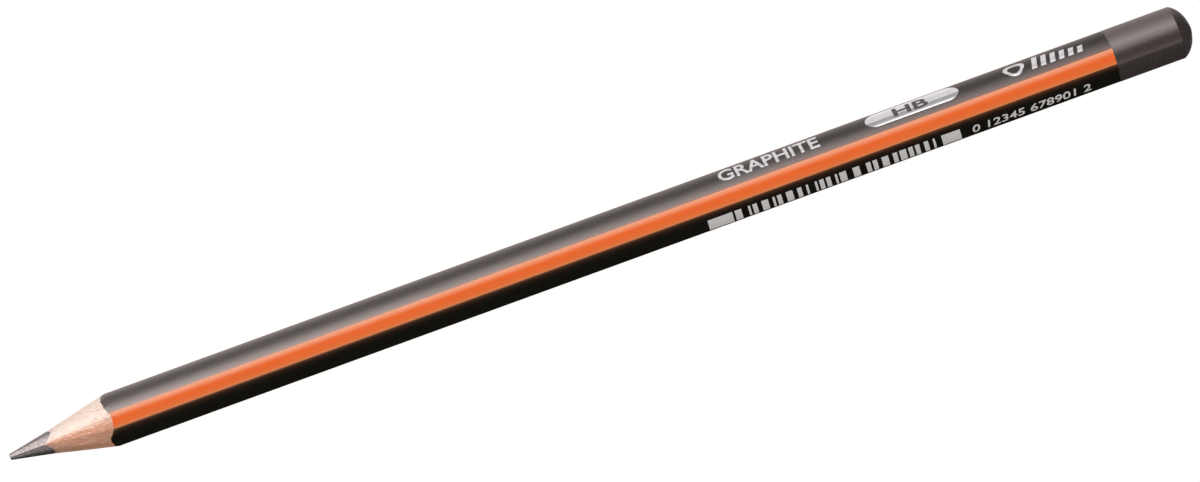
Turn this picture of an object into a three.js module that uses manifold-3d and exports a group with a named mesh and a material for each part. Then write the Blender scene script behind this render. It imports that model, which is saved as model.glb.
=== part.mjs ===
// A triangular wood-cased graphite pencil, sharpened, with painted corner stripes and a dipped end.
// Millimetres. +X runs along the pencil from the tip to the dipped end, and +Z is up. The pencil
// lies on one face. The origin is below its middle, at the level of its lowest point.
// Inside the pencil's own group, x counts from the tip and the lead's axis is y = z = 0.

import * as THREE from 'three';
import { mergeVertices } from 'three/addons/utils/BufferGeometryUtils.js';
import Module from 'manifold-3d';

const wasm = await Module();
wasm.setup();

// Whole pencil
const LENGTH = 175;

// Barrel section: a triangle with slightly domed faces and flattened corners
const FACE_REACH = 3.12; // lead axis to the middle of a black face
const CORNER_REACH = 3.845; // lead axis to the middle of a striped corner
const FACE_RADIUS = 14;
const CORNER_RADIUS = 5;
const CREASE_RADIUS = 0.4; // rounds the crease between a face and a corner

// Coats: black faces and orange corners side by side on the wood, with the dip and foil over them
const GAP = 0.005; // play between two coats or layers, so that no two solids share a surface
const LACQUER = 0.1;
const DIP = 0.04;
const FOIL = 0.015;

// Lead and glue
const LEAD_RADIUS = 1.55;
const GLUE_FILM = 0.04;

// Sharpened point: three domed sides that meet at ridges, then part round a narrow flat at each
const POINT_SLOPE = 0.219; // growth of its corners' reach for each millimetre of length
const TIP_REACH = 0.48; // reach of its corners at the blunt tip
const SIDE_SHARE = 0.84; // reach of a side's middle, as a share of the corners'
const RIDGE_HALF_WIDTH = 0.01;
const FLAT_START = 5; // the ridges widen into flats from here on
const FLAT_GROWTH = 0.12; // growth of a flat's half width for each millimetre of length
const POINT_END = 18; // the point is wider than the barrel from here on

// Dipped end
const DIP_LENGTH = 11.7;
const END_DEPTH = 2.05; // length over which the end rounds off
const END_START = THREE.MathUtils.degToRad(20); // the rounding's first angle along its ellipse
const END_FILM = 0.3; // thickness of the dip at the very end

// Foil badge on the +Y face
const BADGE_START = 127.6;
const BADGE_LENGTH = 13.8;
const BADGE_WIDTH = 3.55;
const BADGE_CENTRE = -0.485; // from the middle of the face, towards the top corner

// Fineness
const CREASE_STEPS = 2;
const CORNER_STEPS = 3;
const FACE_STEPS = 5; // odd, so that the face the pencil lies on has a truly flat middle
const LEAD_STEPS = 36;
const POINT_STEPS = 8; // across each side of the point
const FLAT_STEPS = 2; // across each of its flats
const POINT_RINGS = 6; // along its flats
const END_STEPS = 9;
const BADGE_STEPS = 12;
const WELD = 1e-4;

const CORNERS = 3;
const THIRD = (2 * Math.PI) / CORNERS;
const STEPS_PER_CORNER = 2 * CREASE_STEPS + CORNER_STEPS + FACE_STEPS;
const STRIPE_STEPS = CREASE_STEPS + CORNER_STEPS;
const DIP_START = LENGTH - DIP_LENGTH;
const SHOULDER = LENGTH - END_DEPTH;
const BADGE_FACE = THIRD / 2;
const SPAN = 2 * LENGTH; // longer and wider than the whole pencil

// Each layer's reach to the middle of a face and of a corner
const lacquerOut = { face: FACE_REACH, corner: CORNER_REACH };
const lacquerIn = grown(lacquerOut, -LACQUER);
const core = grown(lacquerIn, -GAP);
const overLacquer = grown(lacquerOut, GAP);
const dipOut = grown(overLacquer, DIP);
const foilOut = grown(overLacquer, FOIL);

// The lead axis lies this far above the flat middle of the face that the dipped end rests on.
const AXIS_HEIGHT = Math.max(...barrelOutline(dipOut).map((p) => -p.y));

function grown(layer, by) {
  return { face: layer.face + by, corner: layer.corner + by };
}

// --- Sections: angles run from +Z towards +Y, and a point is (y, z) ---

function polar(reach, angle) {
  return new THREE.Vector2(reach * Math.sin(angle), reach * Math.cos(angle));
}

// The points of an arc, without its last one.
function arc(centre, radius, from, to, steps) {
  return Array.from({ length: steps }, (_, i) =>
    polar(radius, from + ((to - from) * i) / steps).add(centre),
  );
}

// The crease's circle touches the corner's circle and the face's circle from inside.
function crease(cornerCentre, faceCentre) {
  const cornerSide = CORNER_RADIUS - CREASE_RADIUS;
  const faceSide = FACE_RADIUS - CREASE_RADIUS;
  const apart = cornerCentre.distanceTo(faceCentre);
  const along = (cornerSide ** 2 - faceSide ** 2 + apart ** 2) / (2 * apart);
  const across = Math.sqrt(cornerSide ** 2 - along ** 2);
  const towardsFace = faceCentre.clone().sub(cornerCentre).normalize();
  const outwards = new THREE.Vector2(towardsFace.y, -towardsFace.x);
  const centre = cornerCentre.clone();
  centre.addScaledVector(towardsFace, along).addScaledVector(outwards, across);
  const cornerEnd = centre.clone().sub(cornerCentre);
  const faceEnd = centre.clone().sub(faceCentre);
  return {
    reach: centre.length(),
    bearing: Math.atan2(centre.x, centre.y),
    cornerTurn: Math.atan2(cornerEnd.x, cornerEnd.y),
    faceTurn: Math.atan2(faceEnd.x, faceEnd.y),
  };
}

// The closed outline of the barrel at one layer, corner by corner.
function barrelOutline(layer) {
  const cornerOffset = layer.corner - CORNER_RADIUS;
  const faceOffset = layer.face - FACE_RADIUS;
  const c = crease(polar(cornerOffset, 0), polar(faceOffset, THIRD / 2));
  const points = [];
  for (let i = 0; i < CORNERS; i++) {
    const turn = i * THIRD;
    const before = polar(c.reach, turn - c.bearing);
    const after = polar(c.reach, turn + c.bearing);
    const cornerCentre = polar(cornerOffset, turn);
    const faceCentre = polar(faceOffset, turn + THIRD / 2);
    points.push(
      ...arc(before, CREASE_RADIUS, turn - c.faceTurn, turn - c.cornerTurn, CREASE_STEPS),
      ...arc(cornerCentre, CORNER_RADIUS, turn - c.cornerTurn, turn + c.cornerTurn, CORNER_STEPS),
      ...arc(after, CREASE_RADIUS, turn + c.cornerTurn, turn + c.faceTurn, CREASE_STEPS),
      ...arc(faceCentre, FACE_RADIUS, turn + c.faceTurn, turn + THIRD - c.faceTurn, FACE_STEPS),
    );
  }
  return points;
}

function movedTowards(point, target, distance) {
  return target.clone().sub(point).setLength(distance).add(point);
}

// A stretch of a closed outline, drawn in at both ends by half the play between two coats.
function stretch(outline, first, steps) {
  const points = Array.from({ length: steps + 1 }, (_, i) => outline[(first + i) % outline.length]);
  const start = movedTowards(points[0], points[1], GAP / 2);
  const end = movedTowards(points[steps], points[steps - 1], GAP / 2);
  return [start, ...points.slice(1, -1), end];
}

// The section of the sharpened point at x: a narrow flat at each corner, and an arc for each side.
// The side's arc runs from one flat's edge to the next, and is sideReach from the axis halfway.
function pointOutline(x) {
  const reach = TIP_REACH + POINT_SLOPE * x;
  const halfWidth = Math.max(RIDGE_HALF_WIDTH, FLAT_GROWTH * (x - FLAT_START));
  const flatTurn = Math.asin(halfWidth / CORNER_RADIUS);
  const flatOffset = reach - CORNER_RADIUS;
  const edge = polar(flatOffset, 0).add(polar(CORNER_RADIUS, flatTurn));
  const halfway = polar(1, THIRD / 2);
  const out = edge.dot(halfway);
  const across = Math.abs(edge.cross(halfway));
  const sideReach = SIDE_SHARE * reach;
  const sideOffset = (edge.lengthSq() - sideReach ** 2) / (2 * (out - sideReach));
  const sideTurn = Math.atan2(across, out - sideOffset);
  const points = [];
  for (let i = 0; i < CORNERS; i++) {
    const turn = i * THIRD;
    const middle = turn + THIRD / 2;
    const flatCentre = polar(flatOffset, turn);
    const sideCentre = polar(sideOffset, middle);
    const sideRadius = sideReach - sideOffset;
    points.push(
      ...arc(flatCentre, CORNER_RADIUS, turn - flatTurn, turn + flatTurn, FLAT_STEPS),
      ...arc(sideCentre, sideRadius, middle - sideTurn, middle + sideTurn, POINT_STEPS),
    );
  }
  return points;
}

// --- Solids ---

// Turns a shape drawn in (y, z) and extruded along its own normal to run along +X.
const ALONG_PENCIL = new THREE.Matrix4().makeBasis(
  new THREE.Vector3(0, 1, 0),
  new THREE.Vector3(0, 0, 1),
  new THREE.Vector3(1, 0, 0),
);

function prism(outline, hole, from, to) {
  const shape = new THREE.Shape(outline);
  if (hole) shape.holes.push(new THREE.Path([...hole].reverse()));
  const geometry = new THREE.ExtrudeGeometry(shape, { depth: to - from, bevelEnabled: false });
  return geometry.applyMatrix4(ALONG_PENCIL).translate(from, 0, 0);
}

// Joins rings of points, each { x, points }, and closes both ends with a fan about the axis.
function loft(rings, firstX, lastX) {
  const count = rings[0].points.length;
  const vertices = rings.flatMap((ring) => ring.points.flatMap((p) => [ring.x, p.x, p.y]));
  vertices.push(firstX, 0, 0, lastX, 0, 0);
  const firstCentre = rings.length * count;
  const lastCentre = firstCentre + 1;
  const lastRing = (rings.length - 1) * count;
  const faces = [];
  for (let j = 0; j < count; j++) {
    const next = (j + 1) % count;
    for (let base = 0; base < lastRing; base += count) {
      faces.push(base + j, base + count + j, base + next);
      faces.push(base + next, base + count + j, base + count + next);
    }
    faces.push(firstCentre, j, next, lastCentre, lastRing + next, lastRing + j);
  }
  const geometry = new THREE.BufferGeometry();
  geometry.setAttribute('position', new THREE.Float32BufferAttribute(vertices, 3));
  geometry.setIndex(faces);
  return geometry;
}

// Rings that round an outline off towards its end, from the shoulder to just short of the axis.
function roundedEnd(outline, depth) {
  return Array.from({ length: END_STEPS }, (_, i) => {
    const angle = THREE.MathUtils.lerp(END_START, Math.PI / 2, i / END_STEPS);
    const share = (Math.sin(angle) - Math.sin(END_START)) / (1 - Math.sin(END_START));
    const scale = Math.cos(angle) / Math.cos(END_START);
    const points = outline.map((p) => p.clone().multiplyScalar(scale));
    return { x: SHOULDER + depth * share, points };
  });
}

function toSolid(geometry) {
  const bare = geometry.clone();
  bare.deleteAttribute('normal');
  bare.deleteAttribute('uv');
  const merged = mergeVertices(bare, WELD);
  const vertProperties = merged.getAttribute('position').array;
  const triVerts = Uint32Array.from(merged.getIndex().array);
  return new wasm.Manifold(new wasm.Mesh({ numProp: 3, vertProperties, triVerts }));
}

function toGeometry(solid) {
  const { vertProperties, triVerts } = solid.getMesh();
  const geometry = new THREE.BufferGeometry();
  geometry.setAttribute('position', new THREE.BufferAttribute(vertProperties, 3));
  geometry.setIndex(new THREE.BufferAttribute(triVerts, 1));
  return geometry;
}

function box(height, centreZ) {
  return toSolid(new THREE.BoxGeometry(SPAN, SPAN, height).translate(0, 0, centreZ));
}

function leadCylinder(radius) {
  const cylinder = new THREE.CylinderGeometry(radius, radius, SPAN, LEAD_STEPS);
  return toSolid(cylinder.rotateZ(-Math.PI / 2));
}

// All that the sharpener leaves: the point, then a stretch wider than the barrel.
function sharpenedEnvelope() {
  const rings = [{ x: 0, points: pointOutline(0) }];
  for (let i = 0; i <= POINT_RINGS; i++) {
    const x = THREE.MathUtils.lerp(FLAT_START, POINT_END, i / POINT_RINGS);
    rings.push({ x, points: pointOutline(x) });
  }
  rings.push({ x: SPAN, points: pointOutline(POINT_END) });
  return toSolid(loft(rings, 0, SPAN));
}

// The wood, glue and lead as one solid: a bar with a rounded rear end.
function coreBar() {
  const outline = barrelOutline(core);
  const depth = END_DEPTH - END_FILM;
  const rings = [{ x: -SPAN, points: outline }, ...roundedEnd(outline, depth)];
  return toSolid(loft(rings, -SPAN, SHOULDER + depth));
}

// --- Pieces ---

const envelope = sharpenedEnvelope();
const sharpenedCore = coreBar().intersect(envelope);

function graphiteCore() {
  return toGeometry(sharpenedCore.intersect(leadCylinder(LEAD_RADIUS)));
}

// side is 1 for the slat above the glue and -1 for the one below it.
function slat(side) {
  const half = box(SPAN, (side * (SPAN + GLUE_FILM + 2 * GAP)) / 2);
  return toGeometry(sharpenedCore.subtract(leadCylinder(LEAD_RADIUS + GAP)).intersect(half));
}

// side is 1 for the film on the +Y side of the lead and -1 for the other.
function glueLine(side) {
  const film = new THREE.BoxGeometry(SPAN, SPAN, GLUE_FILM).translate(0, (side * SPAN) / 2, 0);
  const sheet = sharpenedCore.subtract(leadCylinder(LEAD_RADIUS + GAP)).intersect(toSolid(film));
  return toGeometry(sheet);
}

// One strip of lacquer, over a stretch of the section.
function coat(first, steps) {
  const outer = stretch(barrelOutline(lacquerOut), first, steps);
  const inner = stretch(barrelOutline(lacquerIn), first, steps);
  const strip = prism([...outer, ...inner.reverse()], null, 0, SHOULDER - GAP);
  return toGeometry(toSolid(strip).intersect(envelope));
}

// An orange coat covers one corner, to the middle of both its creases.
function stripe(corner) {
  return coat(corner * STEPS_PER_CORNER + CREASE_STEPS / 2, STRIPE_STEPS);
}

// A black coat covers one face, from stripe to stripe.
function blackPanel(face) {
  const first = face * STEPS_PER_CORNER + CREASE_STEPS / 2 + STRIPE_STEPS;
  return coat(first, STEPS_PER_CORNER - STRIPE_STEPS);
}

// A film that runs over the coats, steps in behind them and follows the rounded wood.
function endDip() {
  const inDepth = END_DEPTH - END_FILM + GAP;
  const behindCoats = roundedEnd(barrelOutline(grown(core, GAP)), inDepth).reverse();
  const rings = [
    ...behindCoats,
    { x: SHOULDER, points: barrelOutline(overLacquer) },
    { x: DIP_START, points: barrelOutline(overLacquer) },
    { x: DIP_START, points: barrelOutline(dipOut) },
    ...roundedEnd(barrelOutline(dipOut), END_DEPTH),
  ];
  return loft(rings, SHOULDER + inDepth, LENGTH);
}

// A pill-shaped film that follows the face it lies on.
function foilBadge() {
  const radius = BADGE_WIDTH / 2;
  const pill = new THREE.Shape();
  pill.absarc(BADGE_START + radius, -BADGE_CENTRE, radius, Math.PI / 2, (3 * Math.PI) / 2);
  const farCentre = BADGE_START + BADGE_LENGTH - radius;
  pill.absarc(farCentre, -BADGE_CENTRE, radius, -Math.PI / 2, Math.PI / 2);
  const options = { depth: SPAN, bevelEnabled: false, curveSegments: BADGE_STEPS };
  const cutter = new THREE.ExtrudeGeometry(pill, options);
  cutter.rotateX(-BADGE_FACE);
  const from = BADGE_START - BADGE_WIDTH;
  const to = BADGE_START + BADGE_LENGTH + BADGE_WIDTH;
  const shell = prism(barrelOutline(foilOut), barrelOutline(overLacquer), from, to);
  return toGeometry(toSolid(shell).intersect(toSolid(cutter)));
}

const wood = { color: 0xe8c39e, roughness: 0.75, metalness: 0 };
const graphite = { color: 0x6e6b6a, roughness: 0.4, metalness: 0.3 };
const glue = { color: 0xd9c08a, roughness: 0.6, metalness: 0 };
const black = { color: 0x14130f, roughness: 0.25, metalness: 0 };
const orange = { color: 0xe86530, roughness: 0.3, metalness: 0 };
const greyDip = { color: 0x4c4644, roughness: 0.35, metalness: 0 };
const silver = { color: 0xc9c8cc, roughness: 0.25, metalness: 1 };

function mesh(name, geometry, finish) {
  geometry.computeVertexNormals();
  const piece = new THREE.Mesh(geometry, new THREE.MeshStandardMaterial(finish));
  piece.name = name;
  return piece;
}

const cased = new THREE.Group();
cased.add(mesh('slat_upper', slat(1), wood));
cased.add(mesh('slat_lower', slat(-1), wood));
cased.add(mesh('graphite_core', graphiteCore(), graphite));
cased.add(mesh('glue_line_left', glueLine(1), glue));
cased.add(mesh('glue_line_right', glueLine(-1), glue));

const coats = new THREE.Group();
['black_panel_left', 'black_panel_base', 'black_panel_right'].forEach((name, face) => {
  coats.add(mesh(name, blackPanel(face), black));
});
['stripe_top', 'stripe_left', 'stripe_right'].forEach((name, corner) => {
  coats.add(mesh(name, stripe(corner), orange));
});
coats.add(mesh('end_dip', endDip(), greyDip));
coats.add(mesh('foil_badge', foilBadge(), silver));

const pencil = new THREE.Group();
pencil.add(cased, coats);
pencil.position.set(-LENGTH / 2, 0, AXIS_HEIGHT);

export default pencil;
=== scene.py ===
# The looks of a triangular wood-cased graphite pencil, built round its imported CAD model.
# Metres. +X runs from the sharpened tip to the dipped end, +Z is up, and +Y is the badge's side.
# A section point is (y, z) from the lead's axis, and a station is a distance from the tip.
# A bearing is an angle round the axis, from +Z towards +Y.

import math

import bmesh
import bpy
import numpy as np
from mathutils import Matrix, Vector


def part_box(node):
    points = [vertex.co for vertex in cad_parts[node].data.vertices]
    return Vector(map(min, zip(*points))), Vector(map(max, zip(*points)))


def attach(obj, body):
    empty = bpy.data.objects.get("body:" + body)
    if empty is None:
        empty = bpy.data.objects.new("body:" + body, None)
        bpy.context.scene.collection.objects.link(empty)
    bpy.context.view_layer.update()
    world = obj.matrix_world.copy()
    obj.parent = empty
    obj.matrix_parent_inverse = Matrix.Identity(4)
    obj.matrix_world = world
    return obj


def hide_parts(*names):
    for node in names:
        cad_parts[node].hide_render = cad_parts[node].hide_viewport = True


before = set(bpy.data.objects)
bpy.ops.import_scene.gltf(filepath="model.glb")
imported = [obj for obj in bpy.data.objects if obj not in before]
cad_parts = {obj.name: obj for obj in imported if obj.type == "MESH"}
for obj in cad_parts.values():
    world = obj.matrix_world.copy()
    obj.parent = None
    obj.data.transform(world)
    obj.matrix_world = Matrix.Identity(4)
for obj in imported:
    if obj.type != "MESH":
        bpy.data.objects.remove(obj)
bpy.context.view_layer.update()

MM = 0.001
SEED = 17
BODY = "root"
CORNERS = 3
TURN = 2 * math.pi
THIRD = TURN / CORNERS


def low(node):
    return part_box(node)[0]


def high(node):
    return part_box(node)[1]


# --- Sizes that the frame gives ---

TIP_X = low("graphite_core").x
LENGTH = high("end_dip").x - TIP_X
LEAD_RADIUS = (high("graphite_core").z - low("graphite_core").z) / 2
AXIS_Z = low("graphite_core").z + LEAD_RADIUS
FACE_REACH = AXIS_Z - low("black_panel_base").z
CORNER_REACH = high("stripe_top").z - AXIS_Z
DIP_START = low("end_dip").x - TIP_X
COATS_END = high("black_panel_base").x - TIP_X
WOOD_START = low("slat_upper").x - TIP_X
WOOD_END = high("graphite_core").x - TIP_X

# --- Sizes of this script's own ---

# Barrel section: a triangle with slightly domed faces and flattened corners
FACE_RADIUS = 14 * MM
CORNER_RADIUS = 5 * MM
CREASE_RADIUS = 0.4 * MM
DIP_CREASE_RADIUS = 0.9 * MM  # the dip's paint fills the creases out

# Layers
GAP = 0.005 * MM
LACQUER = 0.1 * MM
DIP = AXIS_Z - low("end_dip").z - FACE_REACH - GAP
FILM = 0.012 * MM
GLUE_FILM = 0.04 * MM

# Sharpened point: three domed sides that meet at ridges, then part round a narrow flat at each
TIP_REACH = 0.48 * MM  # of the corners, at the blunt tip
TIP_WEAR = 0.04 * MM
POINT_SLOPE = (LEAD_RADIUS + GAP - TIP_REACH) / WOOD_START
SIDE_SHARE = 0.84  # reach of a side's middle, as a share of the corners'
RIDGE_HALF_WIDTH = 0.02 * MM
RIDGE_ROUNDING = 0.006 * MM
FLAT_START = 5 * MM  # the ridges widen into flats from here on
FLAT_GROWTH = 0.12  # half a flat's width, as a share of the length behind its start
POINT_END = 20 * MM  # the point is wider than the barrel from here on
CUT_MEAN = 0.0045  # how much wider the cut is than its section, all round
CUT_LEAN = -0.013  # how much narrower it is on the +Y side, and wider on the other
RIPPLE_COUNTS = np.array([5, 8, 13, 21, 34, 55, 89])
RIPPLE_DEPTH = 0.0028
RIPPLE_DRIFT = 1.5 / MM  # the most that a wave turns with its reach, in radians per metre

# Rear end
SHOULDER = COATS_END + GAP
END_DEPTH = LENGTH - SHOULDER
END_TURN = math.radians(20)  # the rounding's first angle along its ellipse
DIP_BEAD = 0.12 * MM
DIP_WAVE = 0.03 * MM

# Stripes: the share of each crease that is orange
STRIPE_SHARE = 0.35

# Fineness
CREASE_STEPS = 8
CORNER_STEPS = 24
FACE_STEPS = 40
STEPS_PER_CORNER = 2 * CREASE_STEPS + CORNER_STEPS + FACE_STEPS
LEAD_STEPS = 240  # round the lead
TIP_STEPS = 8  # from the axis to the tip's rim
CUT_STEPS = 60  # across the rest of the lead, and across a slat
GLUE_STEPS = 24  # across a glue film
THIN_STEPS = 2  # through the thickness of a coat or a glue film
LENGTH_STEPS = 60  # along the lead, the wood, the glue and the coats
END_STEPS = 40  # round the dip's end
BEAD_STEPS = 6  # round its front edge
HALVINGS = 36  # in the search for the cut
CROSSING_ROUNDS = 4  # in the search for a slat's edge
SHARP_ANGLE = math.radians(9)
WELD = 1e-8


# --- Sections ---


def polar(reach, bearing):
    return np.stack([reach * np.sin(bearing), reach * np.cos(bearing)], axis=-1)


def bearing_of(points):
    return np.arctan2(points[..., 0], points[..., 1])


def arc(centre, radius, start, end, steps):
    """The points of an arc, without its last one."""
    return centre + polar(radius, start + (end - start) * np.arange(steps) / steps)


def crease(corner_centre, face_centre, radius):
    """The small arc that joins a corner's arc to a face's: its centre and the two turns it spans."""
    corner_side = CORNER_RADIUS - radius
    face_side = FACE_RADIUS - radius
    apart = np.linalg.norm(face_centre - corner_centre)
    towards_face = (face_centre - corner_centre) / apart
    outwards = np.array([towards_face[1], -towards_face[0]])
    along = (corner_side**2 - face_side**2 + apart**2) / (2 * apart)
    across = math.sqrt(corner_side**2 - along**2)
    centre = corner_centre + along * towards_face + across * outwards
    return centre, bearing_of(centre - corner_centre), bearing_of(centre - face_centre)


def barrel_outline(depth, crease_radius=CREASE_RADIUS):
    """The closed outline of the barrel at a depth below the lacquer's surface."""
    corner_offset = CORNER_REACH - depth - CORNER_RADIUS
    face_offset = FACE_REACH - depth - FACE_RADIUS
    centres = polar(corner_offset, 0.0), polar(face_offset, THIRD / 2)
    centre, corner_turn, face_turn = crease(*centres, crease_radius)
    reach = np.linalg.norm(centre)
    bearing = bearing_of(centre)
    arcs = []
    for turn in THIRD * np.arange(CORNERS):
        before = polar(reach, turn - bearing)
        after = polar(reach, turn + bearing)
        corner = polar(corner_offset, turn)
        face = polar(face_offset, turn + THIRD / 2)
        arcs += [
            arc(before, crease_radius, turn - face_turn, turn - corner_turn, CREASE_STEPS),
            arc(corner, CORNER_RADIUS, turn - corner_turn, turn + corner_turn, CORNER_STEPS),
            arc(after, crease_radius, turn + corner_turn, turn + face_turn, CREASE_STEPS),
            arc(face, FACE_RADIUS, turn + face_turn, turn + THIRD - face_turn, FACE_STEPS),
        ]
    return np.concatenate(arcs)


def wood_outline():
    return barrel_outline(LACQUER + GAP)


def outline_at(outline, index):
    """Points at fractional indexes of a closed outline."""
    index = np.asarray(index) % len(outline)
    before = np.floor(index).astype(int)
    share = (index - before)[:, None]
    return outline[before] * (1 - share) + outline[(before + 1) % len(outline)] * share


def reach_at(outline, bearing):
    reach = np.linalg.norm(outline, axis=1)
    return np.interp(bearing, bearing_of(outline), reach, period=TURN)


# --- The sharpener's cut and the rounded end, as stations over the section ---

ripple_draws = np.random.default_rng(SEED)
RIPPLE_PHASES = ripple_draws.uniform(0, TURN, len(RIPPLE_COUNTS))
RIPPLE_DRIFTS = ripple_draws.uniform(-RIPPLE_DRIFT, RIPPLE_DRIFT, len(RIPPLE_COUNTS))


def ripple(bearing, reach):
    """An uneven, seeded wave round the axis, about one unit deep."""
    turns = np.asarray(bearing)[..., None] * RIPPLE_COUNTS
    drift = np.asarray(reach)[..., None] * RIPPLE_DRIFTS
    waves = np.sin(turns + drift + RIPPLE_PHASES)
    return (waves / np.sqrt(RIPPLE_COUNTS / RIPPLE_COUNTS[0])).sum(axis=-1)


def arc_reach(offset, radius, turn):
    """An arc's reach at a turn from the bearing of its centre, which lies offset from the axis."""
    return offset * np.cos(turn) + np.sqrt(radius**2 - (offset * np.sin(turn)) ** 2)


def point_reach(bearing, station):
    """The sharpener's section: domed sides between narrow flats, with softened edges."""
    corner = TIP_REACH + POINT_SLOPE * station
    flat_offset = corner - CORNER_RADIUS
    half_width = np.maximum(RIDGE_HALF_WIDTH, FLAT_GROWTH * (station - FLAT_START))
    edge_out = flat_offset + np.sqrt(CORNER_RADIUS**2 - half_width**2)
    edge = np.hypot(half_width, edge_out)
    edge_turn = THIRD / 2 - np.arctan2(half_width, edge_out)
    middle = SIDE_SHARE * corner
    side_offset = (edge**2 - middle**2) / (2 * (edge * np.cos(edge_turn) - middle))
    from_corner = np.abs((bearing + THIRD / 2) % THIRD - THIRD / 2)
    limits = [arc_reach(flat_offset, CORNER_RADIUS, from_corner)]
    for turn in (THIRD / 2 - from_corner, THIRD / 2 + from_corner):
        limits.append(arc_reach(side_offset, middle - side_offset, turn))
    return -RIDGE_ROUNDING * np.logaddexp.reduce(-np.stack(limits) / RIDGE_ROUNDING)


def cut_reach(bearing, reach, station):
    """The cut surface's reach at a station. reach is roughly where the point is, for the ripple."""
    lean = CUT_MEAN + CUT_LEAN * np.sin(bearing)
    return point_reach(bearing, station) * (1 + lean + RIPPLE_DEPTH * ripple(bearing, reach))


def cut_station(points):
    """Where the sharpened surface passes each section point. The tip's rim is worn round."""
    bearing = bearing_of(points)
    reach = np.linalg.norm(points, axis=-1)
    before = np.zeros(reach.shape)
    after = np.full(reach.shape, POINT_END)
    for _ in range(HALVINGS):
        station = (before + after) / 2
        short = cut_reach(bearing, reach, station) < reach
        before = np.where(short, station, before)
        after = np.where(short, after, station)
    inside = np.minimum(reach - cut_reach(bearing, reach, np.zeros(reach.shape)), 0)
    station = before + inside / POINT_SLOPE
    return (station + np.sqrt(station**2 + TIP_WEAR**2)) / 2


def rounding(angle):
    """The rounded end at an angle along its ellipse: its share of the depth, and of the section."""
    share = (np.sin(angle) - math.sin(END_TURN)) / (1 - math.sin(END_TURN))
    return share, np.cos(angle) / math.cos(END_TURN)


def end_station(points):
    """Where the wood's rounded rear end passes each section point."""
    reach = np.linalg.norm(points, axis=-1)
    scale = np.minimum(reach / reach_at(wood_outline(), bearing_of(points)), 1)
    share, _ = rounding(np.arccos(scale * math.cos(END_TURN)))
    return SHOULDER + (WOOD_END - SHOULDER) * share


# --- Meshes ---

# The edges of a grid of section points
FIRST = np.s_[0, :]
LAST = np.s_[-1, :]
INNER = np.s_[:, 0]
OUTER = np.s_[:, -1]
ALL_ROUND = (FIRST, LAST, INNER, OUTER)


def placed(points, stations):
    """Section points at stations, in the row frame."""
    y, z = points[..., 0], points[..., 1]
    y, z = np.broadcast_to(y, stations.shape), np.broadcast_to(z, stations.shape)
    return np.stack([TIP_X + stations, y, AXIS_Z + z], axis=-1)


def column(grid, front, rear, walls):
    """The sheets of a solid over a grid of section points, from its front to its rear stations."""
    share = np.linspace(0, 1, LENGTH_STEPS + 1)[:, None]
    sheets = [placed(grid, front), placed(grid, rear)]
    for wall in walls:
        stations = front[wall] * (1 - share) + rear[wall] * share
        sheets.append(placed(grid[wall], stations))
    return sheets


def faces_of(sheet):
    quads = np.stack([sheet[:-1, :-1], sheet[1:, :-1], sheet[1:, 1:], sheet[:-1, 1:]], axis=2)
    return quads.reshape(-1, 3)


def finish_mesh(mesh):
    """Welds the mesh, turns its faces outwards and shades it smooth between sharp edges."""
    bm = bmesh.new()
    bm.from_mesh(mesh)
    bmesh.ops.remove_doubles(bm, verts=bm.verts, dist=WELD)
    bmesh.ops.recalc_face_normals(bm, faces=bm.faces)
    bm.to_mesh(mesh)
    bm.free()
    mesh.shade_smooth()
    mesh.set_sharp_from_angle(angle=SHARP_ANGLE)


def add_piece(name, mesh, material, nodes):
    """Makes a mesh a piece of the pencil that stands for some CAD nodes."""
    finish_mesh(mesh)
    mesh.materials.append(material)
    piece = bpy.data.objects.new(name, mesh)
    bpy.context.scene.collection.objects.link(piece)
    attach(piece, BODY)
    if nodes:
        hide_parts(*nodes)


def solid(name, sheets, material, slot, *nodes):
    """A piece whose closed surface is made of sheets of faces."""
    corners = np.concatenate([faces_of(sheet) for sheet in sheets])
    mesh = bpy.data.meshes.new(name)
    mesh.from_pydata(corners, [], np.arange(len(corners)).reshape(-1, 4))
    add_piece(name, mesh, material, nodes)


# --- Wood, glue and lead ---


def sharpened(name, grid, walls, material, slot, node):
    """A piece that runs from the sharpener's cut to the wood's rounded end."""
    sheets = column(grid, cut_station(grid), end_station(grid), walls)
    solid(name, sheets, material, slot, node)


def lead_grid():
    """Rays from the lead's axis, with one ring on the rim of the flat tip."""
    bearings = np.linspace(0, TURN, LEAD_STEPS + 1)[:, None]
    rim = cut_reach(bearings, TIP_REACH, np.zeros(bearings.shape))
    inside = rim * np.linspace(0, 1, TIP_STEPS + 1)
    outside = rim + (LEAD_RADIUS - rim) * np.linspace(0, 1, CUT_STEPS + 1)[1:]
    grid = polar(np.concatenate([inside, outside], axis=1), bearings)
    grid[-1] = grid[0]
    return grid


def make_lead(material):
    sharpened("lead", lead_grid(), [OUTER], material, "graphite", "graphite_core")


def slat_edge(side, hand, height):
    """The turn from the slat's middle at which the wood's outline is height above the axis."""
    outline = wood_outline()
    middle = 0 if side > 0 else math.pi
    turn = math.pi / 2
    for _ in range(CROSSING_ROUNDS):
        turn = math.acos(height / reach_at(outline, middle + hand * turn))
    return turn


def slat_grid(side):
    """Lines from the lead's groove to the wood's outline. side is 1 above the glue, -1 below it."""
    height = GLUE_FILM / 2 + GAP
    outline = wood_outline()
    middle = 0 if side > 0 else math.pi
    first, last = slat_edge(side, -1, height), slat_edge(side, 1, height)
    turns = (bearing_of(outline) - middle + math.pi) % TURN - math.pi
    turns = np.sort(turns[(turns > -first) & (turns < last)])
    turns = np.concatenate([[-first], turns, [last]])
    outer = polar(reach_at(outline, middle + turns), middle + turns)
    groove = LEAD_RADIUS + GAP
    groove_turn = math.acos(height / groove)
    inner = polar(groove, middle + groove_turn * np.where(turns < 0, turns / first, turns / last))
    share = np.linspace(0, 1, CUT_STEPS + 1)[:, None]
    return inner[:, None] * (1 - share) + outer[:, None] * share


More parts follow.
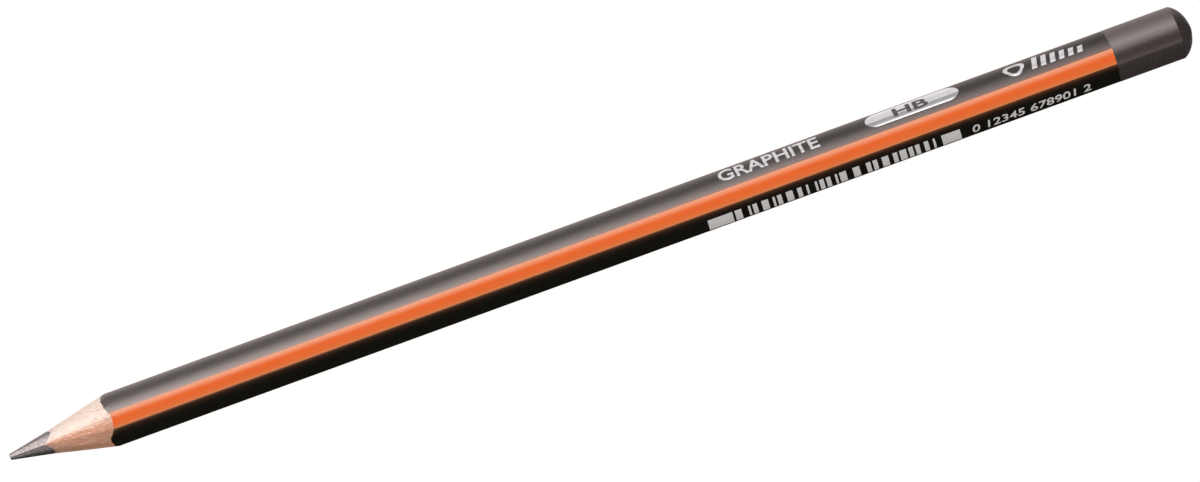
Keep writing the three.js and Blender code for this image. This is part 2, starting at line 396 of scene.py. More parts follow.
def make_slats(material):
    for name, node, side in (("slat_above", "slat_upper", 1), ("slat_below", "slat_lower", -1)):
        sharpened(name, slat_grid(side), ALL_ROUND, material, "cedar", node)


def glue_grid(side):
    """Lines from the lead's groove to the wood's outline. side is 1 on the badge's side, or -1."""
    outline = wood_outline()
    heights = np.linspace(-1, 1, THIN_STEPS + 1) * GLUE_FILM / 2
    inner = np.sqrt((LEAD_RADIUS + GAP) ** 2 - heights**2)
    outer = np.array([reach_at(outline, math.pi / 2 - h / FACE_REACH) for h in heights])
    outer = np.sqrt(outer**2 - heights**2)
    share = np.linspace(0, 1, GLUE_STEPS + 1)[:, None]
    across = side * (inner * (1 - share) + outer * share)
    return np.stack([across, np.broadcast_to(heights, across.shape)], axis=-1)


def make_glue(material):
    rows = (("glue_badge_side", "glue_line_left", 1), ("glue_bars_side", "glue_line_right", -1))
    for name, node, side in rows:
        sharpened(name, glue_grid(side), ALL_ROUND, material, "glue", node)


# --- Lacquer coats ---

# The fractional indexes of the outline between which the top corner is orange
STRIPE_FIRST = CREASE_STEPS * (1 - STRIPE_SHARE)
STRIPE_LAST = CREASE_STEPS * (1 + STRIPE_SHARE) + CORNER_STEPS


def coat(name, first, last, material, slot, node):
    """A strip of lacquer between two fractional indexes of the outline."""
    middle = np.arange(math.floor(first) + 1, math.ceil(last))
    index = np.concatenate([[first], middle, [last]])
    inner = outline_at(barrel_outline(LACQUER), index)
    outer = outline_at(barrel_outline(0), index)
    share = np.linspace(0, 1, THIN_STEPS + 1)[:, None]
    grid = inner[:, None] * (1 - share) + outer[:, None] * share
    rear = np.full(grid.shape[:2], COATS_END)
    solid(name, column(grid, cut_station(grid), rear, ALL_ROUND), material, slot, node)


def make_stripes(material):
    for corner, place in enumerate(("top", "left", "right")):
        first = corner * STEPS_PER_CORNER + STRIPE_FIRST
        last = corner * STEPS_PER_CORNER + STRIPE_LAST
        coat(f"corner_{place}", first, last, material, "orange_lacquer", f"stripe_{place}")


def make_panels(material):
    for face, place in enumerate(("left", "base", "right")):
        first = face * STEPS_PER_CORNER + STRIPE_LAST
        last = (face + 1) * STEPS_PER_CORNER + STRIPE_FIRST
        coat(f"face_{place}", first, last, material, "black_lacquer", f"black_panel_{place}")


# --- Dipped end ---


def rounded_rings(outline, depth):
    """Rings that round an outline off from the shoulder to the axis."""
    rings = []
    for angle in np.linspace(END_TURN, math.pi / 2, END_STEPS + 1):
        share, scale = rounding(angle)
        rings.append((outline * scale, SHOULDER + depth * share))
    return rings


def make_dip(material):
    """A film over the coats that steps in behind them and follows the rounded wood."""
    over_coats = barrel_outline(-GAP)
    inner = rounded_rings(barrel_outline(LACQUER), WOOD_END - SHOULDER + GAP)
    outer = rounded_rings(barrel_outline(-GAP - DIP, DIP_CREASE_RADIUS), END_DEPTH)
    wave = DIP_WAVE * ripple(bearing_of(over_coats), 0)
    rings = inner[::-1] + [(over_coats, SHOULDER), (over_coats, DIP_START + DIP_BEAD + wave)]
    for turn in np.linspace(0, math.pi / 2, BEAD_STEPS + 1):
        share = math.sin(turn)
        crease_radius = CREASE_RADIUS + (DIP_CREASE_RADIUS - CREASE_RADIUS) * share
        outline = barrel_outline(-GAP - DIP * share, crease_radius)
        rings.append((outline, DIP_START + DIP_BEAD * (1 - math.cos(turn)) + wave))
    rings += outer
    rows = [placed(points, np.broadcast_to(station, len(points))) for points, station in rings]
    grid = np.stack(rows)
    sheet = np.concatenate([grid, grid[:, :1]], axis=1)
    solid("dipped_end", [sheet], material, "grey_lacquer", "end_dip")


# --- Foil prints ---

# Each print's start is a station, and its middle lies across the face from the face's middle,
# positive towards the top corner. A weight is in the font's own units.
BADGE_SIDE = 1
BARS_SIDE = -1
FACE_BEARING = THIRD / 2

GRADE_LENGTH = 5.1 * MM
GRADE_HEIGHT = 2.3 * MM
GRADE_WEIGHT = 0.025
GRADE_PLACE = 0.3  # its start, as a share of the badge's length
GRADE_DROP = 0.15 * MM  # below the badge's middle

WORD_LENGTH = 14.8 * MM
WORD_HEIGHT = 3.0 * MM
WORD_WEIGHT = 0.02
WORD_START = 105.8 * MM
WORD_ACROSS = -0.45 * MM

ORNAMENT_LENGTH = 12.4 * MM
ORNAMENT_HEIGHT = 3.0 * MM
ORNAMENT_START = 148.2 * MM
ORNAMENT_ACROSS = -0.45 * MM
RING_BULGE = 0.12  # how far the ring swings in and out, as a share of its radius
RING_HOLE = 0.62  # the hole's reach, as a share of the ring's
STROKE_GAP = 0.8 * MM  # between the ring and the first stroke
STROKE_WIDTH = 0.75 * MM
STROKE_PITCH = 1.35 * MM
STROKE_SHORTENING = 0.28 * MM
STROKE_SLANT = 0.2
STROKE_ROOM = 0.7 * MM  # at least, from the last stroke's start to the ornament's end

BARS_LENGTH = 37.4 * MM
BARS_HEIGHT = 3.05 * MM
BARS_START = 102.4 * MM
BARS_ACROSS = -0.6 * MM
FIRST_BLOCK = 3.65 * MM
LAST_BLOCK = 2.75 * MM
BAR_MODULE = 0.33 * MM
WIDEST_BAR = 3  # modules
BAR_SLANT = -0.06

DIGITS_LENGTH = 17.7 * MM
DIGITS_HEIGHT = 2.15 * MM
DIGITS_WEIGHT = 0.012
DIGITS_SLANT = 0.04
DIGITS_START = 141.4 * MM
DIGITS_ACROSS = -0.52 * MM

PRINT_STEP = 0.25 * MM  # between the cuts that let a print bend with its face
LETTER_STEPS = 5  # along each curve of a letter
PILL_STEPS = 24  # round each end
RING_STEPS = 72


def on_face(side, station, across, height):
    """A point over the black face on one side. across runs from its middle to the top corner."""
    middle = polar(FACE_REACH - FACE_RADIUS, side * FACE_BEARING)
    point = middle + polar(FACE_RADIUS + height, side * (FACE_BEARING - across / FACE_RADIUS))
    return TIP_X + station, point[0], AXIS_Z + point[1]


def across_face(side, y, z):
    """How far a point lies from the middle of a face, towards the top corner."""
    return -side * y * math.cos(FACE_BEARING) + (z - AXIS_Z) * math.sin(FACE_BEARING)


def add_polygon(flat, points):
    flat.faces.new([flat.verts.new((x, y, 0)) for x, y in points])


def folds(flat):
    """The edges at which flat artwork lies over itself."""
    shared = [edge for edge in flat.edges if not edge.is_boundary]
    return [edge for edge in shared if not edge.is_contiguous or len(edge.link_faces) > 2]


def unfold(flat):
    """Closes up the slivers that making letters bolder leaves in their inner corners."""
    while folds(flat):
        bmesh.ops.collapse(flat, edges=folds(flat))


def font_artwork(text, weight):
    """Flat letters in the standard font, made bolder by weight."""
    curve = bpy.data.curves.new(text, "FONT")
    curve.body = text
    curve.offset = weight
    curve.resolution_u = LETTER_STEPS
    letters = bpy.data.objects.new(text, curve)
    bpy.context.scene.collection.objects.link(letters)
    depsgraph = bpy.context.evaluated_depsgraph_get()
    mesh = bpy.data.meshes.new_from_object(letters.evaluated_get(depsgraph))
    flat = bmesh.new()
    flat.from_mesh(mesh)
    bpy.data.objects.remove(letters)
    bpy.data.curves.remove(curve)
    bpy.data.meshes.remove(mesh)
    return flat


def lettering(text, length, height, weight, slant=0.0):
    """Flat letters that fill a box, slanted like italics."""
    flat = font_artwork(text, weight)
    xs = [v.co.x for v in flat.verts]
    ys = [v.co.y for v in flat.verts]
    for v in flat.verts:
        y = (v.co.y - min(ys)) / (max(ys) - min(ys)) * height
        x = (v.co.x - min(xs)) / (max(xs) - min(xs)) * (length - slant * height)
        v.co = (x + slant * y, y, 0)
    unfold(flat)
    return flat


def pill(length, height):
    flat = bmesh.new()
    radius = height / 2
    turns = np.linspace(-math.pi / 2, math.pi / 2, PILL_STEPS + 1)
    right = [(length - radius + radius * math.cos(t), radius + radius * math.sin(t)) for t in turns]
    left = [(radius - radius * math.cos(t), radius - radius * math.sin(t)) for t in turns]
    add_polygon(flat, right + left)
    return flat


def slanted_bar(flat, start, width, height, slant):
    end = start + width
    lean = slant * height
    add_polygon(flat, [(start, 0), (end, 0), (end + lean, height), (start + lean, height)])


def bar_block(length, height):
    """An invented row of bars between two solid blocks."""
    rng = np.random.default_rng(SEED)
    flat = bmesh.new()
    slanted_bar(flat, 0, FIRST_BLOCK, height, BAR_SLANT)
    slanted_bar(flat, length - LAST_BLOCK, LAST_BLOCK, height, BAR_SLANT)
    place = FIRST_BLOCK + BAR_MODULE
    while place < length - LAST_BLOCK - WIDEST_BAR * BAR_MODULE:
        width = rng.integers(1, WIDEST_BAR + 1) * BAR_MODULE
        slanted_bar(flat, place, width, height, BAR_SLANT)
        place += width + rng.integers(1, WIDEST_BAR + 1) * BAR_MODULE
    return flat


def add_rim(flat, centre, reach, turns):
    """Adds corners round the point (centre, centre), at a reach for each turn."""
    points = zip(centre + reach * np.sin(turns), centre + reach * np.cos(turns))
    return [flat.verts.new((x, y, 0)) for x, y in points]


def ornament(length, height):
    """A rounded-triangle ring followed by slanted strokes that grow shorter."""
    flat = bmesh.new()
    radius = height / 2
    turns = np.linspace(0, TURN, RING_STEPS, endpoint=False)
    reach = radius * (1 - RING_BULGE * np.cos(CORNERS * turns))
    outer = add_rim(flat, radius, reach, turns)
    inner = add_rim(flat, radius, reach * RING_HOLE, turns)
    for i in range(RING_STEPS):
        flat.faces.new([outer[i], outer[i - 1], inner[i - 1], inner[i]])
    place = height + STROKE_GAP
    size = height
    while place < length - STROKE_ROOM:
        slanted_bar(flat, place, STROKE_WIDTH, size, STROKE_SLANT)
        place += STROKE_PITCH
        size -= STROKE_SHORTENING
    return flat


def slice_across(flat, height):
    """Cuts flat artwork along its length, so that it can follow the domed face."""
    for y in np.arange(PRINT_STEP, height, PRINT_STEP):
        geometry = flat.verts[:] + flat.edges[:] + flat.faces[:]
        bmesh.ops.bisect_plane(flat, geom=geometry, plane_co=(0, y, 0), plane_no=(0, 1, 0))


def print_film(name, flat, side, start, across, base, material, slot, *nodes):
    """Lays flat artwork on a face as a closed film, FILM deep. across is where its middle goes."""
    height = max(v.co.y for v in flat.verts)
    slice_across(flat, height)
    bmesh.ops.triangulate(flat, faces=flat.faces[:])
    flat.verts.index_update()
    count = len(flat.verts)
    points = []
    for lift in (base, base + FILM):
        for v in flat.verts:
            place = across - side * (v.co.y - height / 2)
            points.append(on_face(side, start + v.co.x, place, lift))
    faces = []
    for face in flat.faces:
        ring = [v.index for v in face.verts]
        faces += [ring, [i + count for i in reversed(ring)]]
    for edge in flat.edges:
        if edge.is_boundary:
            a, b = (v.index for v in edge.verts)
            faces.append([a, b, b + count, a + count])
    flat.free()
    mesh = bpy.data.meshes.new(name)
    mesh.from_pydata(points, [], faces)
    add_piece(name, mesh, material, nodes)


def make_badge(silver, black):
    """The pill of foil, as large as its CAD node, and the grade printed on it."""
    node_low, node_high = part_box("foil_badge")
    lower = across_face(BADGE_SIDE, node_high.y, node_low.z)
    upper = across_face(BADGE_SIDE, node_low.y, node_high.z)
    start = node_low.x - TIP_X
    length = node_high.x - node_low.x
    middle = (lower + upper) / 2
    badge = pill(length, upper - lower)
    print_film("badge", badge, BADGE_SIDE, start, middle, GAP, silver, "silver_foil", "foil_badge")
    grade = lettering("HB", GRADE_LENGTH, GRADE_HEIGHT, GRADE_WEIGHT)
    start += GRADE_PLACE * length
    middle -= GRADE_DROP
    base = GAP + FILM + GAP
    print_film("badge_grade", grade, BADGE_SIDE, start, middle, base, black, "black_lacquer")


def foil_print(name, flat, side, start, across, material):
    print_film(name, flat, side, start, across, GAP, material, "silver_foil")


def make_left_prints(material):
    """The word and the ornament, which read with their tops away from the top corner."""
    word = lettering("GRAPHITE", WORD_LENGTH, WORD_HEIGHT, WORD_WEIGHT)
    foil_print("word", word, BADGE_SIDE, WORD_START, WORD_ACROSS, material)
    shapes = ornament(ORNAMENT_LENGTH, ORNAMENT_HEIGHT)
    foil_print("ornament", shapes, BADGE_SIDE, ORNAMENT_START, ORNAMENT_ACROSS, material)


def make_right_prints(material):
    """The bars and the number run, which read with their tops towards the top corner."""
    bars = bar_block(BARS_LENGTH, BARS_HEIGHT)
    foil_print("bars", bars, BARS_SIDE, BARS_START, BARS_ACROSS, material)
    digits = lettering("0 12345 678901 2", DIGITS_LENGTH, DIGITS_HEIGHT, DIGITS_WEIGHT, DIGITS_SLANT)
    foil_print("number_run", digits, BARS_SIDE, DIGITS_START, DIGITS_ACROSS, material)


# --- Shader nodes ---


def grey(value):
    return (value, value, value, 1)


def connect(tree, value, socket):
    if isinstance(value, bpy.types.NodeSocket):
        tree.links.new(value, socket)
    else:
        socket.default_value = value


def set_inputs(tree, node, **inputs):
    """Sets a node's inputs. Each is a value, or another node's output to link."""
    for key, value in inputs.items():
        connect(tree, value, node.inputs[key.replace("_", " ")])


def add_node(tree, kind, settings=None, **inputs):
    node = tree.nodes.new("ShaderNode" + kind)
    for key, value in (settings or {}).items():
        setattr(node, key, value)
    set_inputs(tree, node, **inputs)
    return node


def calculate(tree, operation, *values):
    node = add_node(tree, "Math", {"operation": operation})
    for index, value in enumerate(values):
        connect(tree, value, node.inputs[index])
    return node.outputs[0]


def blend_colors(tree, factor, first, second, mode="MIX"):
    node = add_node(tree, "MixRGB", {"blend_type": mode}, Fac=factor, Color1=first, Color2=second)
    return node.outputs[0]


def ramp(tree, factor, *stops):
    """A grey ramp through (place, value) stops."""
    node = add_node(tree, "ValToRGB", Fac=factor)
    elements = node.color_ramp.elements
    while len(elements) < len(stops):
        elements.new(0.5)
    for element, (place, value) in zip(elements, stops):
        element.position = place
        element.color = grey(value)
    return node.outputs[0]


def turn_ramp(tree, turn, stops, stray=None):
    """A ramp over a turn, through (degrees, value) stops. stray is a pattern that shifts it."""
    place = calculate(tree, "MULTIPLY_ADD", turn, 1 / TURN, 0.5)
    if stray is not None:
        place = calculate(tree, "ADD", place, stray)
    return ramp(tree, place, *[(angle / 360 + 0.5, value) for angle, value in stops])


def millimetres(tree, along=1, across=1):
    """The piece's own coordinates in millimetres, stretched along the pencil and across it."""
    coordinates = add_node(tree, "TexCoord").outputs["Object"]
    scale = Vector((along, across, across)) / MM
    return add_node(tree, "Mapping", Vector=coordinates, Scale=scale).outputs[0]


def grain(tree, along, across, detail=2.0, roughness=0.5):
    """A noise pattern between 0 and 1. along and across say how many grains a millimetre holds."""
    vector = millimetres(tree, along, across)
    settings = {"Scale": 1.0, "Detail": detail, "Roughness": roughness}
    return add_node(tree, "TexNoise", Vector=vector, **settings).outputs[0]


def axis_view(tree):
    """A point's bearing round the lead's axis, and its reach from it in millimetres."""
    axes = add_node(tree, "SeparateXYZ", Vector=millimetres(tree)).outputs
    height = calculate(tree, "SUBTRACT", axes["Z"], AXIS_Z / MM)
    squares = [calculate(tree, "POWER", value, 2.0) for value in (axes["Y"], height)]
    reach = calculate(tree, "SQRT", calculate(tree, "ADD", *squares))
    return calculate(tree, "ARCTAN2", axes["Y"], height), reach


def by_bearing(tree, *stops, stray=None):
    """A ramp over the bearing, through (degrees, value) stops."""
    bearing, _ = axis_view(tree)
    return turn_ramp(tree, bearing, stops, stray)


def by_corner(tree, *stops):
    """A ramp over the bearing from the nearest corner, through (degrees, value) stops."""
    bearing, _ = axis_view(tree)
    from_corner = calculate(tree, "WRAP", bearing, THIRD / 2, -THIRD / 2)
    return turn_ramp(tree, from_corner, stops)


def along_barrel(tree, first, last):
    """A value that changes evenly from the tip to the end."""
    axes = add_node(tree, "SeparateXYZ", Vector=millimetres(tree)).outputs
    station = calculate(tree, "SUBTRACT", axes["X"], TIP_X / MM)
    return calculate(tree, "MULTIPLY_ADD", station, (last - first) * MM / LENGTH, first)


def new_material(name):
    material = bpy.data.materials.new(name)
    material.use_nodes = True
    return material, material.node_tree, material.node_tree.nodes["Principled BSDF"]


def raise_surface(tree, shader, *layers):
    """Stacks bumps of (height pattern, depth in millimetres) under a shader."""
    normal = None
    for height, depth in layers:
        bump = add_node(tree, "Bump", Height=height, Distance=depth * MM, Strength=1.0)
        if normal is not None:
            tree.links.new(normal, bump.inputs["Normal"])
        normal = bump.outputs[0]
    tree.links.new(normal, shader.inputs["Normal"])


# --- Materials ---

ORANGE = (0.83, 0.133, 0.018, 1)
DEEP_ORANGE = (0.79, 0.121, 0.015, 1)
# Painted highlight: the paler, less red orange painted near the stripes' edges
HIGHLIGHT_ORANGE = (0.61, 0.16, 0.028, 1)
STRAY_ORANGE = (0.78, 0.24, 0.06, 1)
BLACK = (0.005, 0.005, 0.0035, 1)
SOFT_BLACK = (0.007, 0.0065, 0.005, 1)
DIP_GREY = (0.038, 0.030, 0.029, 1)
DEEP_DIP_GREY = (0.031, 0.024, 0.023, 1)
FLAKE_GREY = (0.075, 0.064, 0.062, 1)
TAN = (0.50, 0.215, 0.112, 1)
DEEP_TAN = (0.40, 0.163, 0.078, 1)
# Painted light: the wood on its lit side, the badge's side
LIT_SIDE_WOOD = (0.71, 0.585, 0.50, 1)
LIGHT_FIBRE = (0.86, 0.64, 0.48, 1)
DARK_FIBRE = (0.36, 0.17, 0.09, 1)
PORE_BROWN = (0.25, 0.11, 0.06, 1)
DUST_GREY = (0.10, 0.09, 0.085, 1)
LEAD_GREY = (0.06, 0.058, 0.057, 1)
LIGHT_LEAD_GREY = (0.19, 0.185, 0.184, 1)
SPECK_GREY = (0.05, 0.047, 0.045, 1)
GLUE_YELLOW = (0.72, 0.55, 0.33, 1)
DEEP_GLUE_YELLOW = (0.6, 0.43, 0.24, 1)
BADGE_SILVER = (0.70, 0.78, 0.81, 1)
PRINT_SILVER = (0.62, 0.67, 0.70, 1)
MATTE_SILVER = (0.78, 0.76, 0.74, 1)
VOID_BLACK = (0.02, 0.019, 0.018, 1)
INK_BLACK = (0.055, 0.052, 0.052, 1)
DEEP_INK_BLACK = (0.04, 0.038, 0.038, 1)

# How the top stripe's paint strays onto the black
STRIPE_BEARING = float(bearing_of(outline_at(barrel_outline(0), [STRIPE_LAST]))[0])
FEATHER_LENGTH = 0.38 * MM  # over which it fades to about a third
FEATHER_SHARE = 0.17  # at the edge

# Painted highlight near the stripes' edges: how much of it, by the bearing from their middle in
# degrees
PAINTED_HIGHLIGHT_SHARES = ((-17, 0.9), (-10, 0.3), (-6, 0.0), (3, 0.0), (8, 0.35), (13, 1.0))

FOIL_SHADE = 0.82  # of the foil's darker clouds
DUST_SPAN = 4.0  # millimetres of reach that the dust's ramp covers


def feathering(tree):
    """How much of the top stripe's paint strays onto the black, at a distance from its edges."""
    bearing, _ = axis_view(tree)
    from_corner = calculate(tree, "ABSOLUTE", bearing)
    beyond = calculate(tree, "SUBTRACT", from_corner, STRIPE_BEARING)
    fading = calculate(tree, "MULTIPLY", beyond, -CORNER_REACH / FEATHER_LENGTH)
    return calculate(tree, "MULTIPLY", calculate(tree, "EXPONENT", fading), FEATHER_SHARE)


def lacquer(name, color, clouds, roughness, gloss, feather=None, thin=None):
    """Gloss paint with soft waves along the barrel and fine orange peel.

    gloss is its specular level at the tip and at the end. feather is the colour that strays in
    from the top stripe. The last argument is the colour of a painted highlight near the stripes'
    edges: a paler, less red orange.
    """
    material, tree, shader = new_material(name)
    base = blend_colors(tree, grain(tree, 0.08, 0.6, detail=3), color, clouds)
    if feather:
        base = blend_colors(tree, feathering(tree), base, feather)
    # Painted highlight: a paler, less red orange near the stripes' edges
    if thin:
        base = blend_colors(tree, by_corner(tree, *PAINTED_HIGHLIGHT_SHARES), base, thin)
    smears = grain(tree, 0.5, 2, detail=3)
    sheen = ramp(tree, smears, (0.3, roughness * 0.85), (0.7, roughness * 1.15))
    waves = grain(tree, 0.12, 0.5, detail=1)
    peel = grain(tree, 3, 3)
    set_inputs(tree, shader, Base_Color=base, Roughness=sheen, IOR=1.5)
    set_inputs(tree, shader, Specular_IOR_Level=along_barrel(tree, *gloss))
    raise_surface(tree, shader, (waves, 0.004), (peel, 0.0008))
    return material


def dip_lacquer():
    """Satin dark grey paint with a fine metal flake, glossier over the faces than the corners."""
    material, tree, shader = new_material("grey_dip")
    flakes = add_node(tree, "TexVoronoi", Vector=millimetres(tree), Scale=14.0).outputs["Color"]
    glint = ramp(tree, flakes, (0.75, 0.0), (0.95, 1.0))
    paint = blend_colors(tree, grain(tree, 0.3, 0.8, detail=3), DIP_GREY, DEEP_DIP_GREY)
    base = blend_colors(tree, glint, paint, FLAKE_GREY)
    gloss = by_corner(tree, (-25, 0.62), (-15, 0.38), (15, 0.38), (25, 0.62))
    waves = grain(tree, 0.15, 0.6, detail=1)
    peel = grain(tree, 5, 5)
    set_inputs(tree, shader, Base_Color=base, Roughness=0.27, IOR=1.5)
    set_inputs(tree, shader, Specular_IOR_Level=gloss)
    raise_surface(tree, shader, (waves, 0.006), (peel, 0.002))
    return material


def cedar():
    """Freshly cut wood with growth bands, fibres and fine dark pores, and painted light: paler on
    the badge's side, as if lit from there.
    """
    material, tree, shader = new_material("cedar")
    bands = ramp(tree, grain(tree, 0.02, 0.9, detail=3), (0.35, 0.0), (0.65, 1.0))
    fibres = grain(tree, 0.2, 3.6, detail=5, roughness=0.7)
    pores = ramp(tree, grain(tree, 0.7, 8), (0.32, 1.0), (0.42, 0.0))
    stray = calculate(tree, "MULTIPLY_ADD", fibres, 0.12, -0.06)
    # Painted light: the badge's side of the wood is painted paler, as if lit from there; the fibres
    # fray the edge
    lit_side = by_bearing(tree, (-2, 0.0), (20, 1.0), (165, 1.0), (180, 0.0), stray=stray)
    light = ramp(tree, fibres, (0.52, 0.0), (0.66, 0.5))
    dark = ramp(tree, fibres, (0.37, 0.65), (0.46, 0.0))
    wood = blend_colors(tree, bands, TAN, DEEP_TAN)
    wood = blend_colors(tree, lit_side, wood, LIT_SIDE_WOOD)
    wood = blend_colors(tree, light, wood, LIGHT_FIBRE)
    wood = blend_colors(tree, dark, wood, DARK_FIBRE)
    wood = blend_colors(tree, calculate(tree, "MULTIPLY", pores, 0.6), wood, PORE_BROWN)
    wood = blend_colors(tree, dust(tree), wood, DUST_GREY)
    fuzz = grain(tree, 6, 6)
    set_inputs(tree, shader, Base_Color=wood, Roughness=0.5, IOR=1.5, Specular_IOR_Level=1.0)
    set_inputs(tree, shader, Coat_Weight=0.6, Coat_Roughness=0.5, Coat_IOR=1.8)
    raise_surface(tree, shader, (fibres, 0.07), (pores, -0.03), (fuzz, 0.006))
    return material


def dust(tree):
    """Graphite dust that the sharpener has dragged onto the wood round the lead."""
    _, reach = axis_view(tree)
    smears = grain(tree, 0.8, 3, detail=4, roughness=0.65)
    stray = calculate(tree, "MULTIPLY_ADD", smears, -0.5, 0.25)
    place = calculate(tree, "ADD", calculate(tree, "DIVIDE", reach, DUST_SPAN), stray)
    return ramp(tree, place, (0.38, 0.45), (0.47, 0.0))


def graphite():
    """Dense grey lead with a soft metal sheen and fine marks along it."""
    material, tree, shader = new_material("graphite")
    streaks = grain(tree, 0.4, 9, detail=4, roughness=0.6)
    specks = grain(tree, 3, 6, detail=3)
    rubbed = ramp(tree, streaks, (0.36, 0.0), (0.62, 1.0))
    base = blend_colors(tree, rubbed, LEAD_GREY, LIGHT_LEAD_GREY)
    base = blend_colors(tree, ramp(tree, specks, (0.62, 0.0), (0.72, 0.6)), base, SPECK_GREY)
    set_inputs(tree, shader, Base_Color=base, Metallic=0.75, Roughness=0.31)
    raise_surface(tree, shader, (streaks, 0.008), (specks, 0.004))
    return material


def glue():
    material, tree, shader = new_material("glue")
    cloud = grain(tree, 0.5, 3, detail=3)
    base = blend_colors(tree, cloud, GLUE_YELLOW, DEEP_GLUE_YELLOW)
    set_inputs(tree, shader, Base_Color=base, Roughness=0.5)
    raise_surface(tree, shader, (cloud, 0.004))
    return material


def foil(name, color, metal, roughness, reflection_band_share=1.0):
    """Hot-stamped foil that has missed small specks of the lacquer.

    The last argument is the share of brightness kept in a strip along it on the badge's side: a
    painted dark band of its reflection.
    """
    material, tree, shader = new_material(name)
    voids = ramp(tree, grain(tree, 4, 8, detail=3, roughness=0.7), (0.30, 1.0), (0.37, 0.0))
    cloud = grain(tree, 0.8, 3, detail=3)
    shaded = (*[FOIL_SHADE * channel for channel in color[:3]], 1)
    bright = blend_colors(tree, cloud, color, shaded)
    # Painted reflection: a darker strip along the badge's side stands in for a dark band in what the
    # foil mirrors
    strip = by_bearing(tree, (39, 1.0), (45, reflection_band_share), (58, reflection_band_share), (65, 1.0))
    bright = blend_colors(tree, 1.0, bright, strip, "MULTIPLY")
    base = blend_colors(tree, voids, bright, VOID_BLACK)
    shine = calculate(tree, "MULTIPLY", calculate(tree, "SUBTRACT", 1.0, voids), metal)
    set_inputs(tree, shader, Base_Color=base, Metallic=shine, Roughness=roughness)
    raise_surface(tree, shader, (cloud, 0.004), (voids, -0.004))
    return material


def ink():
    material, tree, shader = new_material("badge_ink")
    cloud = grain(tree, 1, 3, detail=3)
    base = blend_colors(tree, cloud, INK_BLACK, DEEP_INK_BLACK)
    set_inputs(tree, shader, Base_Color=base, Roughness=0.6, Specular_IOR_Level=0.2)
    raise_surface(tree, shader, (cloud, 0.002))
    return material


# --- Stage: floor, light and camera ---

# What shiny surfaces see: strength by the bearing of the direction they mirror, in degrees
MIRRORED_LIGHT = (
    (-180, 0.35), (-150, 0.01), (-100, 0.01), (-90, 0.6), (-80, 1.3), (-40, 1.4), (-27, 1.5),
    (-15, 0.45), (-7, 0.15), (-2, 0.05), (1, 0.05), (5, 0.4), (8, 1.4), (11, 2.9), (15, 5.1),
    (20, 6.8), (50, 6.0), (93, 5.0), (99, 4.6), (104, 3.6), (110, 1.8), (115, 0.92), (120, 0.7),
    (126, 0.8), (131, 1.0), (137, 1.75), (150, 1.0), (180, 0.35),
)
BRIGHTEST = max(strength for _, strength in MIRRORED_LIGHT)
FILL_LIGHT = 0.4
ENDWISE_LIGHT = 0.05
STUDIO_TINT = (1, 0.87, 0.85, 1)
WHITE = grey(1)

KEY_STRENGTH = 1.9
KEY_SPREAD = math.radians(30)
KEY_DIRECTION = (0, 0.03, 1)  # towards the light

FLOOR_HALF_SIZE = 20
FLOOR_GREY = grey(0.25)
FLOOR_GLOW = 0.78


def make_world():
    """Even white light for matte surfaces, and a soft studio all round the pencil for shiny ones."""
    world = bpy.data.worlds.new("studio")
    bpy.context.scene.world = world
    world.use_nodes = True
    tree = world.node_tree
    direction = add_node(tree, "TexCoord").outputs["Generated"]
    axes = add_node(tree, "SeparateXYZ", Vector=direction).outputs
    bearing = calculate(tree, "ARCTAN2", axes["Y"], axes["Z"])
    stops = [(angle, strength / BRIGHTEST) for angle, strength in MIRRORED_LIGHT]
    studio = calculate(tree, "MULTIPLY", turn_ramp(tree, bearing, stops), BRIGHTEST)
    studio = blend_colors(tree, 1.0, studio, STUDIO_TINT, "MULTIPLY")
    endwise = ramp(tree, axes["X"], (0.3, 0.0), (0.55, 1.0))
    mirrored = blend_colors(tree, endwise, studio, grey(ENDWISE_LIGHT))
    path = add_node(tree, "LightPath").outputs
    even = blend_colors(tree, path["Is Camera Ray"], grey(FILL_LIGHT), WHITE)
    color = blend_colors(tree, path["Is Glossy Ray"], even, mirrored)
    tree.links.new(color, tree.nodes["Background"].inputs["Color"])
    world.cycles.sampling_method = "NONE"


def make_key_light():
    """One broad, shadowless light from above."""
    light = bpy.data.lights.new("key", "SUN")
    light.energy = KEY_STRENGTH
    light.angle = KEY_SPREAD
    light.use_shadow = False
    key = bpy.data.objects.new("key", light)
    key.rotation_mode = "QUATERNION"
    key.rotation_quaternion = Vector(KEY_DIRECTION).to_track_quat("Z", "Y")
    key.visible_glossy = False
    bpy.context.scene.collection.objects.link(key)


def floor_material():
    """Pale and glowing, and clear from below."""
    material, tree, shader = new_material("floor")
    set_inputs(tree, shader, Base_Color=FLOOR_GREY, Roughness=1.0, Specular_IOR_Level=0.0)
    set_inputs(tree, shader, Emission_Color=WHITE, Emission_Strength=FLOOR_GLOW)
    clear = add_node(tree, "BsdfTransparent").outputs[0]
    behind = add_node(tree, "NewGeometry").outputs["Backfacing"]
    sides = add_node(tree, "MixShader")
    for index, value in enumerate((behind, shader.outputs[0], clear)):
        connect(tree, value, sides.inputs[index])
    tree.links.new(sides.outputs[0], tree.nodes["Material Output"].inputs["Surface"])
    return material


def make_floor():
    """A floor that shiny surfaces don't mirror."""
    far = FLOOR_HALF_SIZE
    corners = [(-far, -far, 0), (far, -far, 0), (far, far, 0), (-far, far, 0)]
    mesh = bpy.data.meshes.new("floor")
    mesh.from_pydata(corners, [], [(0, 1, 2, 3)])
    mesh.materials.append(floor_material())
    floor = bpy.data.objects.new("floor", mesh)
    floor.visible_glossy = False
    bpy.context.scene.collection.objects.link(floor)


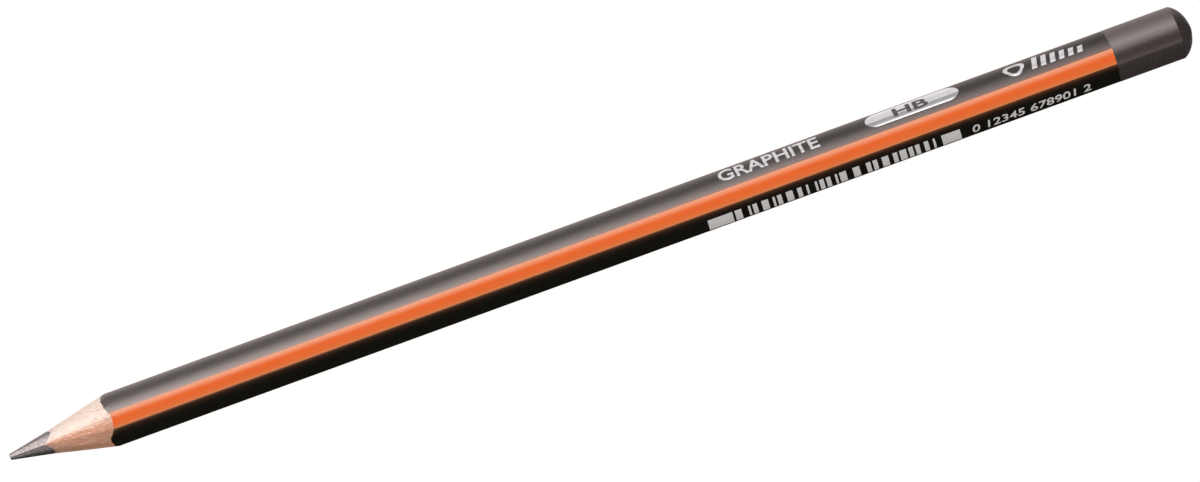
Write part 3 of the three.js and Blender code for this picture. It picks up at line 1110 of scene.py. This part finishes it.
# Camera: high above the pencil and a little towards its tip and the badge's side
CAMERA_DISTANCE = 6.0
CAMERA_X = -math.sin(math.radians(5))
CAMERA_Y = math.sin(math.radians(1.8))
CAMERA_BACK = Vector((CAMERA_X, CAMERA_Y, math.sqrt(1 - CAMERA_X**2 - CAMERA_Y**2)))
CAMERA_AIM = (-0.10 * MM, 0.188 * MM)  # from the pencil's middle
CAMERA_ROLL = math.radians(20)
CAMERA_CLIP = (0.1, 100)
FRAME_HEIGHT = 66.9 * MM
SENSOR_HEIGHT = 12.0
SENSOR_WIDTH = 71.0


def make_camera():
    camera_data = bpy.data.cameras.new("camera")
    camera_data.sensor_fit = "VERTICAL"
    camera_data.sensor_height = SENSOR_HEIGHT
    camera_data.sensor_width = SENSOR_WIDTH
    camera_data.lens = SENSOR_HEIGHT * CAMERA_DISTANCE / FRAME_HEIGHT
    camera_data.clip_start, camera_data.clip_end = CAMERA_CLIP
    camera = bpy.data.objects.new("camera", camera_data)
    along = (Vector((1, 0, 0)) - CAMERA_BACK * CAMERA_BACK.x).normalized()
    across = CAMERA_BACK.cross(along)
    right = along * math.cos(CAMERA_ROLL) - across * math.sin(CAMERA_ROLL)
    up = along * math.sin(CAMERA_ROLL) + across * math.cos(CAMERA_ROLL)
    turned = Matrix((right, up, CAMERA_BACK)).transposed().to_4x4()
    target = Vector((TIP_X + LENGTH / 2 + CAMERA_AIM[0], CAMERA_AIM[1], AXIS_Z))
    camera.matrix_world = Matrix.Translation(target + CAMERA_BACK * CAMERA_DISTANCE) @ turned
    bpy.context.scene.collection.objects.link(camera)
    bpy.context.scene.camera = camera


# --- The pencil on its stage ---

orange = lacquer("orange_lacquer", ORANGE, DEEP_ORANGE, 0.16, gloss=(0.55, 0.45), thin=HIGHLIGHT_ORANGE)
black = lacquer("black_lacquer", BLACK, SOFT_BLACK, 0.18, gloss=(0.9, 0.25), feather=STRAY_ORANGE)
badge_silver = foil("badge_foil", BADGE_SILVER, metal=0.95, roughness=0.22, reflection_band_share=0.4)
print_silver = foil("silver_foil", PRINT_SILVER, metal=0.9, roughness=0.28, reflection_band_share=0.65)
matte_silver = foil("matte_silver_foil", MATTE_SILVER, metal=0.3, roughness=0.5)

make_lead(graphite())
make_slats(cedar())
make_glue(glue())
make_stripes(orange)
make_panels(black)
make_dip(dip_lacquer())
make_badge(badge_silver, ink())
make_left_prints(print_silver)
make_right_prints(matte_silver)

make_world()
make_key_light()
make_floor()
make_camera()
bpy.context.scene.view_settings.view_transform = "Standard"
